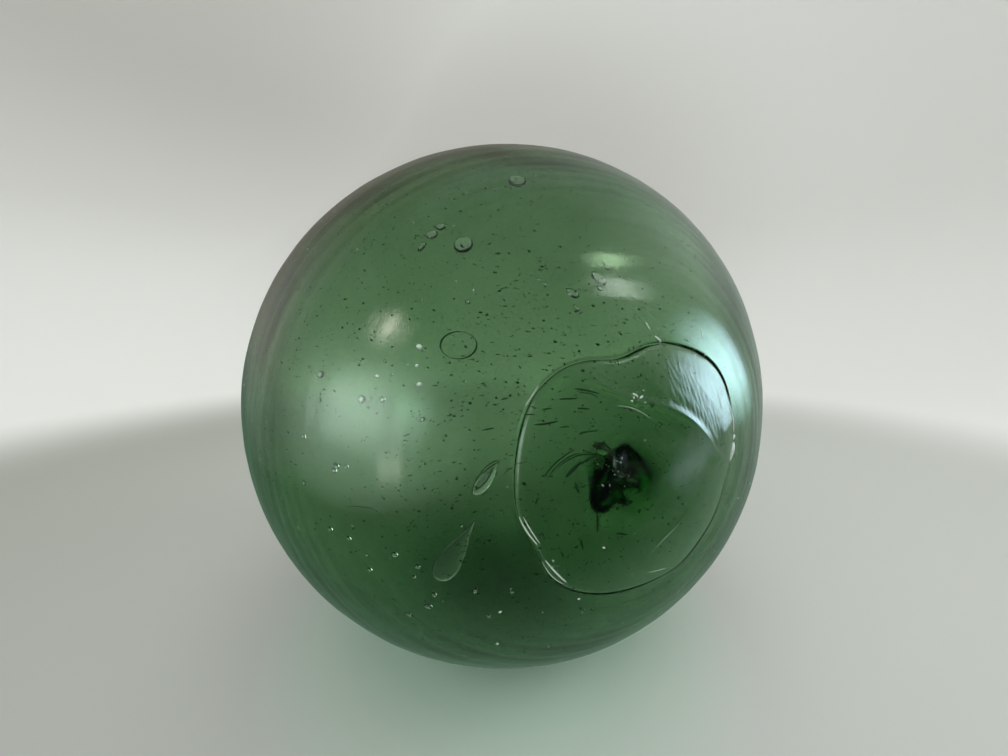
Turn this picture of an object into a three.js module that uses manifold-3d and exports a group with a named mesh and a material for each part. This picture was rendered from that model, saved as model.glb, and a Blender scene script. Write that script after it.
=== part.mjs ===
// Glass float ball: a blown ball of green glass, closed by the seal, one button of glass
// pressed over the hole that the blowpipe left. Ball and seal are fused into one piece.
// Millimetres, +Z up. The origin is the middle of the small flat spot that the ball rests on.
// -Y is the front, and the seal faces forward and to the right.

import * as THREE from 'three';
import { mergeVertices } from 'three/addons/utils/BufferGeometryUtils.js';
import Module from 'manifold-3d';

// Driving dimensions of the ball
const ballDiameter = 127;
const restSpotDiameter = 16;

// Places where the blown ball leaves its true sphere: degrees to the right of the front,
// degrees above the ball's middle, and the spread and height of the swelling
const swellings = [
  { azimuth: 56, elevation: 7, spread: 24, height: -0.47 },
  { azimuth: -33, elevation: 62, spread: 34, height: -0.2 },
  { azimuth: 48, elevation: 51, spread: 28, height: 0.22 },
];

// The seal: where it faces, in degrees to the right of the front and above the ball's middle,
// and the mean distance from its middle to its edge
const sealAzimuth = 18;
const sealElevation = 1.3;
const sealRadius = 18.5;

// Lobes of the seal's edge: degrees anticlockwise from the right, spread and reach
const sealLobes = [
  { turn: 42, spread: 24, reach: 2 },
  { turn: 102, spread: 15, reach: -1.8 },
  { turn: 141, spread: 22, reach: 1.1 },
  { turn: -149, spread: 14, reach: -1 },
  { turn: -124, spread: 29, reach: 0.9 },
  { turn: -61, spread: 14, reach: 0.9 },
  { turn: -11, spread: 18, reach: -1.5 },
];

// Heights above the ball: the rounded lip at the seal's edge, and the crown of its dome
const lipHeight = 0.6;
const lipRound = 0.8;
const crownHeight = 2.4;

// The flat that a tool pressed on the seal's shoulder: its distance from the seal's middle,
// the way it lies and slopes in degrees, and the ridge that the tool pushed up beside it
const flatOffset = 8.7;
const flatTurn = 59;
const flatTilt = 10;
const ridgeHeight = 0.3;
const ridgeWidth = 1.1;

// The mark left of the seal's middle, where the glass was cut off: two overlapping hollows
const cutHollows = [
  { right: -3.7, up: 3.2, radius: 1.9, depth: 0.6 },
  { right: -5.6, up: -1, radius: 2.2, depth: 0.7 },
];

// Fineness of the faces, as steps around the seal's axis and rows outward along the ball
const stepsAround = 72;
const domeRows = 12;
const lipRows = 4;
const ballRows = 30;

const ballRadius = ballDiameter / 2;
const restSpotRadius = restSpotDiameter / 2;
const centreHeight = Math.sqrt(ballRadius ** 2 - restSpotRadius ** 2);
const minimumLip = lipHeight / 3;

const radians = THREE.MathUtils.degToRad;

// A smooth hump: 1 at no distance, falling to nothing beyond two spreads.
function hump(distance, spread) {
  return Math.exp(-((distance / spread) ** 2));
}

// Difference between two directions around the seal, in degrees from -180 to 180.
function turnBetween(a, b) {
  return THREE.MathUtils.euclideanModulo(a - b + 180, 360) - 180;
}

// Unit vector that faces so far to the right of the front and so far above the middle.
function facing(azimuth, elevation) {
  const flat = Math.cos(radians(elevation));
  return new THREE.Vector3(
    Math.sin(radians(azimuth)) * flat,
    -Math.cos(radians(azimuth)) * flat,
    Math.sin(radians(elevation)),
  );
}

// Distance along the ball from the seal's middle to its edge, in the direction of turn.
function sealEdge(turn) {
  let reach = sealRadius;
  for (const lobe of sealLobes) {
    reach += lobe.reach * hump(turnBetween(turn, lobe.turn), lobe.spread);
  }
  return reach;
}

// Height of the seal's top over the ball at a distance from its middle, in the direction of
// turn: a low dome with a rounded lip, planed off on one shoulder and hollowed where it was cut off.
function sealHeight(distance, turn) {
  const edge = sealEdge(turn);
  if (distance >= edge) {
    return 0;
  }
  const right = distance * Math.cos(radians(turn));
  const up = distance * Math.sin(radians(turn));
  const share = distance / edge;
  let height = lipHeight + (crownHeight - lipHeight) * (1 - share ** 2);

  const beyond = right * Math.cos(radians(flatTurn)) + up * Math.sin(radians(flatTurn)) - flatOffset;
  const domeAtFlat = lipHeight + (crownHeight - lipHeight) * (1 - (flatOffset / sealRadius) ** 2);
  const planed = domeAtFlat - Math.tan(radians(flatTilt)) * beyond;
  height = Math.min(height, Math.max(planed, minimumLip));
  height += ridgeHeight * hump(beyond, ridgeWidth) * (1 - share ** 4);

  for (const hollow of cutHollows) {
    const apart = Math.hypot(right - hollow.right, up - hollow.up);
    height -= hollow.depth * hump(apart, hollow.radius);
  }

  const fromEdge = Math.min((edge - distance) / lipRound, 1);
  return height * Math.sqrt(1 - (1 - fromEdge) ** 2);
}

// How far the blown ball swells or sinks from its true sphere in a direction.
function swelling(direction) {
  let height = 0;
  for (const place of swellings) {
    const apart = THREE.MathUtils.radToDeg(direction.angleTo(facing(place.azimuth, place.elevation)));
    height += place.height * hump(apart, place.spread);
  }
  return height;
}

// Distance from the seal's middle to a row of the surface: rows across the dome first, then
// close rows over the lip, then even rows to the point behind the ball.
function rowDistance(row, turn) {
  const edge = sealEdge(turn);
  const lipStart = edge - lipRound;
  if (row <= domeRows) {
    return lipStart * (row / domeRows);
  }
  if (row <= domeRows + lipRows) {
    const share = (row - domeRows) / lipRows;
    return lipStart + lipRound * Math.sin((share * Math.PI) / 2);
  }
  const behind = ballRadius * Math.PI;
  return edge + (behind - edge) * ((row - domeRows - lipRows) / ballRows);
}

// The glass of ball and seal: a sphere whose pole is the seal's middle, with its rows moved
// so that one row runs along the seal's edge, and its points lifted to the glass's surface.
function blownGlass() {
  const rows = domeRows + lipRows + ballRows;
  const geometry = new THREE.SphereGeometry(1, stepsAround, rows);
  const axis = facing(sealAzimuth, sealElevation);
  const toRight = new THREE.Vector3(0, 0, 1).cross(axis).normalize();
  const upward = axis.clone().cross(toRight);
  const position = geometry.attributes.position;
  const columns = stepsAround + 1;

  for (let index = 0; index < position.count; index += 1) {
    const row = Math.floor(index / columns);
    const turn = -180 + (360 * (index % columns)) / stepsAround;
    const distance = rowDistance(row, turn);
    const opening = distance / ballRadius;
    const direction = new THREE.Vector3()
      .addScaledVector(axis, Math.cos(opening))
      .addScaledVector(toRight, Math.sin(opening) * Math.cos(radians(turn)))
      .addScaledVector(upward, Math.sin(opening) * Math.sin(radians(turn)));
    const reach = ballRadius + swelling(direction) + sealHeight(distance, turn);
    position.setXYZ(index, direction.x * reach, direction.y * reach, direction.z * reach);
  }
  geometry.translate(0, 0, centreHeight);
  return geometry;
}

const wasm = await Module();
wasm.setup();

// A closed geometry as a solid that can be cut, and a solid back as a geometry.
function toSolid(geometry) {
  const bare = geometry.clone();
  bare.deleteAttribute('normal');
  bare.deleteAttribute('uv');
  const merged = mergeVertices(bare, 1e-4);
  return new wasm.Manifold(new wasm.Mesh({
    numProp: 3,
    vertProperties: new Float32Array(merged.attributes.position.array),
    triVerts: new Uint32Array(merged.index.array),
  }));
}

function toGeometry(solid) {
  const mesh = solid.getMesh();
  const geometry = new THREE.BufferGeometry();
  geometry.setAttribute('position', new THREE.BufferAttribute(mesh.vertProperties, 3));
  geometry.setIndex(new THREE.BufferAttribute(mesh.triVerts, 1));
  geometry.computeVertexNormals();
  return geometry;
}

// Everything below the plane that the ball rests on.
function belowTheRestSpot() {
  const side = ballDiameter;
  const block = new THREE.BoxGeometry(side, side, side);
  block.translate(0, 0, -side / 2);
  return block;
}

const greenGlass = new THREE.MeshStandardMaterial({
  color: '#5b7d58',
  roughness: 0.18,
  metalness: 0,
  transparent: true,
  opacity: 0.6,
});

const glass = toSolid(blownGlass()).subtract(toSolid(belowTheRestSpot()));
const glassFloat = new THREE.Mesh(toGeometry(glass), greenGlass);
glassFloat.name = 'glass_float';

const float = new THREE.Group();
float.add(glassFloat);

export default float;
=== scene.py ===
# %% [markdown]
# # A blown glass float ball
# The object is one piece of green glass: a hollow ball that was blown on a pipe, and the
# seal, a button of hot glass pressed over the hole that the pipe left. The glass is full
# of air: tiny seeds, a few bubbles that can be seen into, and one drawn out to a drop.
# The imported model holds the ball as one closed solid. Here it becomes real glass, with a
# wall, a hollow and everything that is caught in the wall. Lengths are in millimetres
# until a mesh is made, because that is how the real thing is measured.

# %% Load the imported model
import math

import bpy
import numpy as np
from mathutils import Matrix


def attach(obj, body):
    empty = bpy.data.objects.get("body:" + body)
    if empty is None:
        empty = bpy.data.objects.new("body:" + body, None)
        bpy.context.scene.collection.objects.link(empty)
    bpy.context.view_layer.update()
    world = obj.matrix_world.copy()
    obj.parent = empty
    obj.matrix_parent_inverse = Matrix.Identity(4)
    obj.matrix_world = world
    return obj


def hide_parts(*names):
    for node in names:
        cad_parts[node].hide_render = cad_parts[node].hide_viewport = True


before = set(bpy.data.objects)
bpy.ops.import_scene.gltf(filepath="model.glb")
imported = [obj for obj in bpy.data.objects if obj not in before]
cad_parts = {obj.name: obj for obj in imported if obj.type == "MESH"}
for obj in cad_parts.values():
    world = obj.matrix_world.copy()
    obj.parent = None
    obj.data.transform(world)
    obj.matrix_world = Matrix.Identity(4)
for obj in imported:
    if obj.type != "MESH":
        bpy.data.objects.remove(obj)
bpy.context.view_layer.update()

# %% Units and colours
MM = 0.001


def linear(code):
    """sRGB hex to linear: each channel is c / 12.92 when dark, else ((c + 0.055) / 1.055) ^ 2.4."""
    channels = [int(code[i:i + 2], 16) / 255 for i in (1, 3, 5)]
    return tuple(c / 12.92 if c <= 0.04045 else ((c + 0.055) / 1.055) ** 2.4 for c in channels)


def node(tree, kind, settings=(), **links):
    """Adds one node. settings are its own properties, links are values or sockets for its inputs."""
    made = tree.nodes.new(kind)
    for name, value in dict(settings).items():
        setattr(made, name, value)
    for name, value in links.items():
        socket = made.inputs[int(name[1:])] if name[1:].isdigit() else made.inputs[name.replace("_", " ")]
        if isinstance(value, bpy.types.NodeSocket):
            tree.links.new(value, socket)
        else:
            socket.default_value = value
    return made


def smooth_step(tree, value, start, end, **limits):
    """A value that eases from 0 at start to 1 at end, or between the limits To_Min and To_Max."""
    return node(tree, "ShaderNodeMapRange", {"interpolation_type": "SMOOTHSTEP"}, Value=value,
                From_Min=start, From_Max=end, **limits).outputs[0]


def maths(tree, operation, *values):
    """The result of one operation on numbers or sockets."""
    links = {f"_{k}": value for k, value in enumerate(values)}
    return node(tree, "ShaderNodeMath", {"operation": operation}, **links).outputs[0]


def blend(tree, share, first, second):
    """first + share * (second - first), for colours that are sockets or sRGB hex."""
    first, second = ((*linear(c), 1) if isinstance(c, str) else c for c in (first, second))
    return node(tree, "ShaderNodeMix", {"data_type": "RGBA"}, _0=share, _6=first, _7=second).outputs[2]


def new_material(name, empty=True, lights_others=True):
    """A material and its node tree. A glow that lights no others is left out when lamps are looked for."""
    material = bpy.data.materials.new(name)
    material.use_nodes = True
    if empty:
        material.node_tree.nodes.clear()
    if not lights_others:
        material.cycles.emission_sampling = "NONE"
    return material, material.node_tree


# %% [markdown]
# ## Where the camera stands
# The photograph was taken from very near with a very wide lens. Its lines of perspective
# give the lens (a view 1008 wide has a focal length of 378) and the ball's outline gives
# the distance, 1.76 ball radii from the ball's middle. A near, wide view shows less than
# half of the ball, and that is what makes the seal look so large.

# %% Ball sizes and camera
BALL_RADIUS = 63.5
REST_SPOT_RADIUS = 8.0
CENTRE_HEIGHT = math.sqrt(BALL_RADIUS ** 2 - REST_SPOT_RADIUS ** 2)
PICTURE_WIDTH = 1008
FOCAL_PIXELS = 378
SENSOR_MM = 36.0
CAMERA_PLACE = (0.0021, -1.7193, 0.3579)  # from the ball's middle, in ball radii
CAMERA_PITCH = 8.91  # degrees below level

camera_data = bpy.data.cameras.new("photo_camera")
camera_data.sensor_width = SENSOR_MM
camera_data.lens = SENSOR_MM * FOCAL_PIXELS / PICTURE_WIDTH
camera_data.clip_start = 0.005
camera = bpy.data.objects.new("photo_camera", camera_data)
bpy.context.collection.objects.link(camera)
camera.location = [BALL_RADIUS * MM * part for part in CAMERA_PLACE]
camera.location.z += CENTRE_HEIGHT * MM
camera.rotation_euler = (math.radians(90 - CAMERA_PITCH), 0, 0)
bpy.context.scene.camera = camera
print("lens, mm:", round(camera_data.lens, 2), "camera at:", tuple(round(v, 4) for v in camera.location))

# %% [markdown]
# ## The surface of ball and seal
# A point of the surface is found by walking from the seal's middle: so far along the ball
# (distance) in such a direction (turn). The same walk made the solid, so the fine surface
# lies where the solid's does. The seal's edge is a circle with a few lobes. Its top is a
# low dome with a rounded lip, with one shoulder pressed flat by a tool.

# %% Shape of the seal
SEAL_AZIMUTH = 18.0
SEAL_ELEVATION = 1.3
SEAL_RADIUS = 18.5
SEAL_LOBES = ((42, 24, 2.0), (102, 15, -1.8), (141, 22, 1.1), (-149, 14, -1.0),
              (-124, 29, 0.9), (-61, 14, 0.9), (-11, 18, -1.5))  # turn, spread, reach
LIP_HEIGHT = 0.6
LIP_ROUND = 0.8
CROWN_HEIGHT = 2.4
FLAT_OFFSET = 8.7
FLAT_TURN = 59.0
FLAT_TILT = 10.0
RIDGE_HEIGHT = 0.26
RIDGE_WIDTH = 0.6
RIDGE_BULGE, RIDGE_BEND = 0.6, 0.03  # how far the ridge bows outward, and how fast it bends back
CUT_HOLLOWS = ((-3.7, 3.2, 1.9, 0.6), (-5.6, -1.0, 2.2, 0.7))  # right, up, radius, depth
SCAR_FROM = np.array([-8.4, 5.3])  # ends of the torn line where the glass was cut off
SCAR_TO = np.array([-3.5, -0.6])
SCAR_HEIGHT, SCAR_WIDTH, SCAR_BOW = 0.3, 0.45, 0.5
SCAR_SWAY, SCAR_BREAKS = 1.1, 3.1  # radians for each mm along it, of its bow and of its gaps
SCAR_LOSS = 0.35  # half of the height that it loses in a gap
CREASE_DEPTH = 0.4
CREASE_WIDTH = 0.2
CREASE_OFFSET = 0.1  # from the edge outward
FUSED_TURN, FUSED_SPREAD = -66.0, 58.0  # the stretch of edge that melted into the ball
FUSED_SWELL, FUSED_CREASE = 0.3, 0.1  # how far the cone swells there, and the share of crease left
# azimuth, elevation, spread and rise of each
SWELLINGS = ((56, 7, 24, -0.47), (-33, 62, 34, -0.2), (48, 51, 28, 0.22))


def hump(distance, spread):
    """A smooth hump, e to the power of minus (distance over spread) squared."""
    return np.exp(-(distance / spread) ** 2)


def facing(azimuth, elevation):
    """Unit vector so many degrees to the right of the front and above the middle."""
    a, e = np.radians(azimuth), np.radians(elevation)
    return np.stack([np.sin(a) * np.cos(e), -np.cos(a) * np.cos(e), np.sin(e)], axis=-1)


def seal_edge(turn):
    """Distance from the seal's middle to its edge: the mean, and a hump for each lobe."""
    reach = np.full_like(turn, SEAL_RADIUS)
    for lobe_turn, spread, height in SEAL_LOBES:
        apart = (turn - lobe_turn + 180) % 360 - 180
        reach += height * hump(apart, spread)
    return reach


def on_seal(distance, turn):
    """The end of a walk as its place (right, up) from the seal's middle."""
    angle = np.radians(turn)
    return distance * np.cos(angle), distance * np.sin(angle)


def past_ridge(right, up):
    """How far a place on the seal lies beyond the bowed ridge, on the side that was pressed flat."""
    lean = math.radians(FLAT_TURN)
    along = up * math.cos(lean) - right * math.sin(lean)
    bow = RIDGE_BULGE - RIDGE_BEND * np.minimum(along ** 2, 60)
    return right * math.cos(lean) + up * math.sin(lean) - FLAT_OFFSET - bow


def torn_line(right, up):
    """Height of the scar: a hump across the line from one end to the other, bowed and broken like a sine."""
    line = SCAR_TO - SCAR_FROM
    length = np.linalg.norm(line)
    along = ((right - SCAR_FROM[0]) * line[0] + (up - SCAR_FROM[1]) * line[1]) / length
    across = ((up - SCAR_FROM[1]) * line[0] - (right - SCAR_FROM[0]) * line[1]) / length
    past_end = np.maximum(np.abs(along - length / 2) - length / 2, 0)
    bowed = across - SCAR_BOW * np.sin(along * SCAR_SWAY)
    broken = 1 - SCAR_LOSS + SCAR_LOSS * np.sin(along * SCAR_BREAKS)
    return SCAR_HEIGHT * hump(np.hypot(bowed, past_end), SCAR_WIDTH) * broken


def seal_height(distance, turn):
    """Height over the ball: a dome, the lower of it and the flat, ridge, hollows, scar, round lip."""
    edge = seal_edge(turn)
    right, up = on_seal(distance, turn)
    share = np.minimum(distance / edge, 1)
    height = LIP_HEIGHT + (CROWN_HEIGHT - LIP_HEIGHT) * (1 - share ** 2)
    beyond = past_ridge(right, up)
    at_flat = LIP_HEIGHT + (CROWN_HEIGHT - LIP_HEIGHT) * (1 - (FLAT_OFFSET / SEAL_RADIUS) ** 2)
    planed = at_flat - math.tan(math.radians(FLAT_TILT)) * beyond
    height = np.minimum(height, np.maximum(planed, LIP_HEIGHT / 3))
    height = height + RIDGE_HEIGHT * hump(beyond, RIDGE_WIDTH) * (1 - share ** 4)
    for hollow_right, hollow_up, radius, depth in CUT_HOLLOWS:
        height = height - depth * hump(np.hypot(right - hollow_right, up - hollow_up), radius)
    height = height + torn_line(right, up)
    from_edge = np.clip((edge - distance) / LIP_ROUND, 0, 1)
    fused = hump((turn - FUSED_TURN + 180) % 360 - 180, FUSED_SPREAD)
    lip = np.sqrt(1 - (1 - from_edge) ** 2)
    cone = CROWN_HEIGHT * (1 - share) * (1 + FUSED_SWELL * share)
    left_open = 1 - (1 - FUSED_CREASE) * fused
    crease = CREASE_DEPTH * left_open * hump(distance - edge - CREASE_OFFSET, CREASE_WIDTH)
    return height * lip * (1 - fused) + np.minimum(height, cone) * fused - crease


def swelling(direction):
    """How far the ball leaves its true sphere: a hump for each named place."""
    height = np.zeros(direction.shape[:-1])
    for azimuth, elevation, spread, rise in SWELLINGS:
        apart = np.degrees(np.arccos(np.clip(direction @ facing(azimuth, elevation), -1, 1)))
        height += rise * hump(apart, spread)
    return height


WAVE_COUNT = 14


def waves(direction, length, seed):
    """Smooth unevenness from -1 to 1 or so: a sum of plane waves with random directions and phases."""
    draw = np.random.default_rng(seed)
    across = draw.normal(size=(WAVE_COUNT, 3))
    across /= np.linalg.norm(across, axis=1, keepdims=True)
    pitch = 2 * math.pi * BALL_RADIUS / (length * draw.uniform(0.75, 1.5, WAVE_COUNT))
    phase = draw.uniform(0, 2 * math.pi, WAVE_COUNT)
    total = sum(np.sin(direction @ across[k] * pitch[k] + phase[k]) for k in range(WAVE_COUNT))
    return total / math.sqrt(WAVE_COUNT)


SEAL_AXIS = facing(SEAL_AZIMUTH, SEAL_ELEVATION)
SEAL_RIGHT = np.cross([0, 0, 1], SEAL_AXIS)
SEAL_RIGHT /= np.linalg.norm(SEAL_RIGHT)
SEAL_UP = np.cross(SEAL_AXIS, SEAL_RIGHT)


def walk(distance, turn):
    """Direction reached by walking from the seal's middle along the ball."""
    opening = (distance / BALL_RADIUS)[..., None]
    turn = np.radians(turn)[..., None]
    return (np.cos(opening) * SEAL_AXIS + np.sin(opening) * np.cos(turn) * SEAL_RIGHT
            + np.sin(opening) * np.sin(turn) * SEAL_UP)


def flow_frame(out, turn=0.0):
    """Unit vectors along and across a line on the ball that is turned so many degrees from east to north."""
    east = np.cross([0, 0, 1.0], out)
    east /= np.linalg.norm(east, axis=-1, keepdims=True)
    north = np.cross(out, east)
    lean = np.radians(turn)[..., None]
    return east * np.cos(lean) + north * np.sin(lean), north * np.cos(lean) - east * np.sin(lean)


LOWEST_PLACE = -0.985  # in ball radii, a little above the rest spot


def random_places(draw, count):
    """Directions spread evenly over the ball, less those that lead to its rest spot."""
    direction = draw.normal(size=(count, 3))
    direction /= np.linalg.norm(direction, axis=1, keepdims=True)
    return direction[direction[:, 2] > LOWEST_PLACE]


# %% Ball with its wall and hollow
WALL = 2.5
HALF_WAY = math.pi * BALL_RADIUS  # from the seal's middle to the point behind the ball


def rows_between(*stretches):
    """Row places along a walk: each stretch is (start, end, rows), ends shared."""
    parts = [np.linspace(start, end, rows, endpoint=False) for start, end, rows in stretches]
    return np.concatenate(parts + [[stretches[-1][1]]])


def closed_skin(points, inward=False):
    """Grid of points, row by row from pole to pole, as a closed skin. The first row is one point, and so
    is the last."""
    rows, steps = points.shape[:2]
    vertices = np.concatenate([points[:1, 0], points[1:-1].reshape(-1, 3), points[-1:, 0]])
    ring = 1 + np.arange((rows - 2) * steps).reshape(rows - 2, steps)
    after = np.roll(ring, -1, axis=1)
    quads = np.stack([ring[:-1], ring[1:], after[1:], after[:-1]], axis=-1).reshape(-1, 4)
    first = np.stack([np.zeros(steps, int), ring[0], after[0]], axis=-1)
    last = np.stack([np.full(steps, len(vertices) - 1), after[-1], ring[-1]], axis=-1)
    triangles = np.concatenate([first, last])
    if inward:
        quads, triangles = quads[:, ::-1], triangles[:, ::-1]
    return vertices, quads, triangles


def join_skins(skins):
    """Puts several skins into one list of vertices and faces."""
    vertices, faces, start = [], [], 0
    for points, quads, triangles in skins:
        vertices.append(points)
        faces += (quads + start).tolist() + (triangles + start).tolist()
        start += len(points)
    return np.concatenate(vertices), faces


def smooth_object(name, points, faces, material):
    """Mesh object with smooth faces, from points in metres."""
    mesh = bpy.data.meshes.new(name)
    mesh.from_pydata(points.tolist(), [], faces)
    mesh.polygons.foreach_set("use_smooth", np.ones(len(mesh.polygons), dtype=bool))
    mesh.materials.append(material)
    made = bpy.data.objects.new(name, mesh)
    bpy.context.collection.objects.link(made)
    return made


def make_piece(name, vertices, faces, material, slot, **marks):
    """Smooth mesh object from millimetres round the ball's middle, riding on the root body. marks are
    numbers for each vertex."""
    piece = smooth_object(name, (vertices + [0, 0, CENTRE_HEIGHT]) * MM, faces, material)
    mesh = piece.data
    for mark, amount in marks.items():
        mesh.attributes.new(mark, "FLOAT", "POINT").data.foreach_set("value", amount.astype(np.float32))
    mesh.update()
    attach(piece, "root")
    mesh.calc_loop_triangles()
    print(name, "triangles:", len(mesh.loop_triangles))
    return piece


OUTER_WAVES = ((0.035, 14, 1), (0.01, 4.5, 2))  # height, length, seed
INNER_WAVES = ((0.05, 17, 3), (0.012, 6, 4))
RIPPLE_HEIGHT = 0.016  # rings that the blowing left round the seal, and how far they wander
RIPPLE_PITCH = 7.5
RIPPLE_WANDER = 2.5
WANDER_LENGTH = 70
CREASE_REACH = 0.7  # width of the close rows just outside the seal's edge
OUTER_STEPS = 300  # points round each row
DOME_ROWS, LIP_ROWS, CREASE_ROWS, BALL_ROWS = 60, 8, 8, 84
ROW_CROWDING = 1.25  # above 1, the ball's rows lie closer near the seal
PRESSED_EASE, PRESSED_MARGIN = 0.8, 0.6  # mm over which the pressed flat starts, and ends at the edge


def outer_skin():
    """Ball radius, plus swelling, seal and slight waves, along every walk. Cut flat at the rest spot."""
    turn = np.linspace(-180, 180, OUTER_STEPS, endpoint=False)[None, :]
    edge = seal_edge(turn)
    lip_start = edge - LIP_ROUND
    dome = np.linspace(0, 1, DOME_ROWS, endpoint=False)[:, None] * lip_start
    tilt = np.linspace(0, math.pi / 2, LIP_ROWS, endpoint=False)[:, None]
    lip = lip_start + LIP_ROUND * np.sin(tilt)
    crease = edge + np.linspace(0, CREASE_REACH, CREASE_ROWS, endpoint=False)[:, None]
    outside = edge + CREASE_REACH
    ball = outside + (HALF_WAY - outside) * (np.linspace(0, 1, BALL_ROWS)[:, None] ** ROW_CROWDING)
    distance = np.concatenate([dome, lip, crease, ball])
    turn = np.broadcast_to(turn, distance.shape)
    direction = walk(distance, turn)
    reach = BALL_RADIUS + swelling(direction) + seal_height(distance, turn)
    reach += sum(height * waves(direction, length, seed) for height, length, seed in OUTER_WAVES)
    wander = RIPPLE_WANDER * waves(direction, WANDER_LENGTH, 6)
    reach += RIPPLE_HEIGHT * np.sin(distance * 2 * math.pi / RIPPLE_PITCH + wander)
    points = direction * reach[..., None]
    points[..., 2] = np.maximum(points[..., 2], -CENTRE_HEIGHT)
    beyond = past_ridge(*on_seal(distance, turn))
    pressed = np.clip(beyond / PRESSED_EASE, 0, 1) * np.clip((edge - distance) / PRESSED_MARGIN, 0, 1)
    pressed = np.concatenate([pressed[:1, 0], pressed[1:-1].ravel(), pressed[-1:, 0]])
    return closed_skin(points), pressed


# right, up, long, wide, sag, turn of each lump that sags into the hollow
LUMPS = ((-1.0, -0.9, 3.4, 2.0, 7.4, -75), (-3.0, -2.3, 3.0, 2.6, 5.9, 42))
HOLE_RIGHT, HOLE_UP = -1.1, 1.3
HOLE_RADIUS = 6.0
PLUG_STEP, PLUG_EDGE = 0.22, 0.2  # how far the plug stands into the hollow, and how soft its edge is
BROAD_SAG, BROAD_SPREAD = 0.2, 17
INNER_STEPS = 170
CLOSE_REACH = 22  # from the seal's middle, where the rows lie close
CLOSE_ROWS, FAR_ROWS = 66, 50


def inner_skin():
    """The hollow: the ball without its wall, pushed in behind the seal by the glass that sagged through."""
    turn = np.linspace(-180, 180, INNER_STEPS, endpoint=False)[None, :]
    stretches = (0, CLOSE_REACH, CLOSE_ROWS), (CLOSE_REACH, HALF_WAY, FAR_ROWS)
    distance = rows_between(*stretches)[:, None] + 0 * turn
    turn = np.broadcast_to(turn, distance.shape)
    direction = walk(distance, turn)
    right, up = on_seal(distance, turn)
    sag = BROAD_SAG * hump(distance, BROAD_SPREAD)
    for lump_right, lump_up, long, wide, depth, lump_turn in LUMPS:
        lean = math.radians(lump_turn)
        along = (right - lump_right) * math.cos(lean) + (up - lump_up) * math.sin(lean)
        across = (up - lump_up) * math.cos(lean) - (right - lump_right) * math.sin(lean)
        sag += depth * np.exp(-(along / long) ** 2 - (across / wide) ** 2)
    from_hole = np.hypot(right - HOLE_RIGHT, up - HOLE_UP)
    plug = PLUG_STEP / (1 + np.exp(np.clip((from_hole - HOLE_RADIUS) / PLUG_EDGE, -30, 30)))
    reach = BALL_RADIUS - WALL + swelling(direction) - sag - plug
    reach += sum(height * waves(direction, length, seed) for height, length, seed in INNER_WAVES)
    return closed_skin(direction * reach[..., None], inward=True)


# %% [markdown]
# ## Bubbles that can be seen into
# A bubble in glass is a hole in it: its skin is a face of the same glass, turned inwards
# like the skin of the hollow. Each one is a ball stretched along the flow of the glass and
# pressed thin between the two faces of the wall. Their places are angles from the front,
# read off the photograph through its lens, and their sizes are millimetres.

# %% Bubbles
BUBBLE_MIDDLE = 1.2  # depth of a bubble's middle under the outside
FLOW_TURN = -12  # degrees from east
BUBBLES = (
    # azimuth, elevation, long, wide, deep, turn, and a drop's point
    (-6.1, 31.9, 2.8, 2.9, 0.9, 0),
    (2.9, 44.9, 2.8, 3.4, 0.9, 2),
    (-11.5, 33.7, 1.8, 1.6, 0.6, -3),
    (-10.3, 35.1, 1.6, 1.3, 0.6, -3),
    (-12.7, 31.7, 1.8, 0.9, 0.8, 65),
    (13.9, 26.8, 2.6, 1.6, 0.8, -46),
    (9.6, 24.7, 2.1, 1.2, 0.8, -37, 0.3),
    (9.9, 22.7, 1.2, 0.6, 0.5, -49, 0.3),
    (15.5, 28.6, 1.3, 0.9, 0.6, -51),
    (13.7, 25.3, 0.9, 0.6, 0.5, -43),
    (-18.3, 10.9, 1.3, 1.2, 0.7, 0),
    (-15.3, 11.0, 1.0, 0.9, 0.7, 0),
    (-25.5, 13.6, 1.3, 1.1, 0.7, 0),
    (-10.0, 8.9, 1.3, 0.7, 0.8, 3),
    (-5.9, -7.9, 12.0, 3.4, 0.3, -119, 0.9),
    (-2.0, 2.0, 5.6, 1.9, 0.5, -125, 0.4),
    (-14.3, -9.4, 1.0, 0.9, 0.8, 0),
    (-11.2, -10.8, 0.8, 0.8, 0.7, 0),
    (-12.0, -12.7, 0.7, 0.7, 0.6, 0),
    (-10.7, -18.0, 1.3, 1.2, 0.9, 0),
    (-14.2, -20.8, 1.3, 1.0, 0.8, 0),
    (-3.7, -14.1, 1.3, 0.7, 0.7, 70),
    (-28.0, 5.1, 0.9, 0.7, 0.7, 0),
    (-22.0, 1.9, 0.9, 0.7, 0.7, 0),
    (-20.4, 2.1, 0.7, 0.6, 0.6, 0),
    (-24.4, -7.6, 1.0, 0.9, 0.8, 0),
    (-21.3, -8.3, 0.9, 0.8, 0.7, 0),
    (-28.4, -1.5, 0.9, 0.6, 0.6, 110),
    (47.4, 20.7, 1.6, 1.0, 0.9, 90),
)


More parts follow.
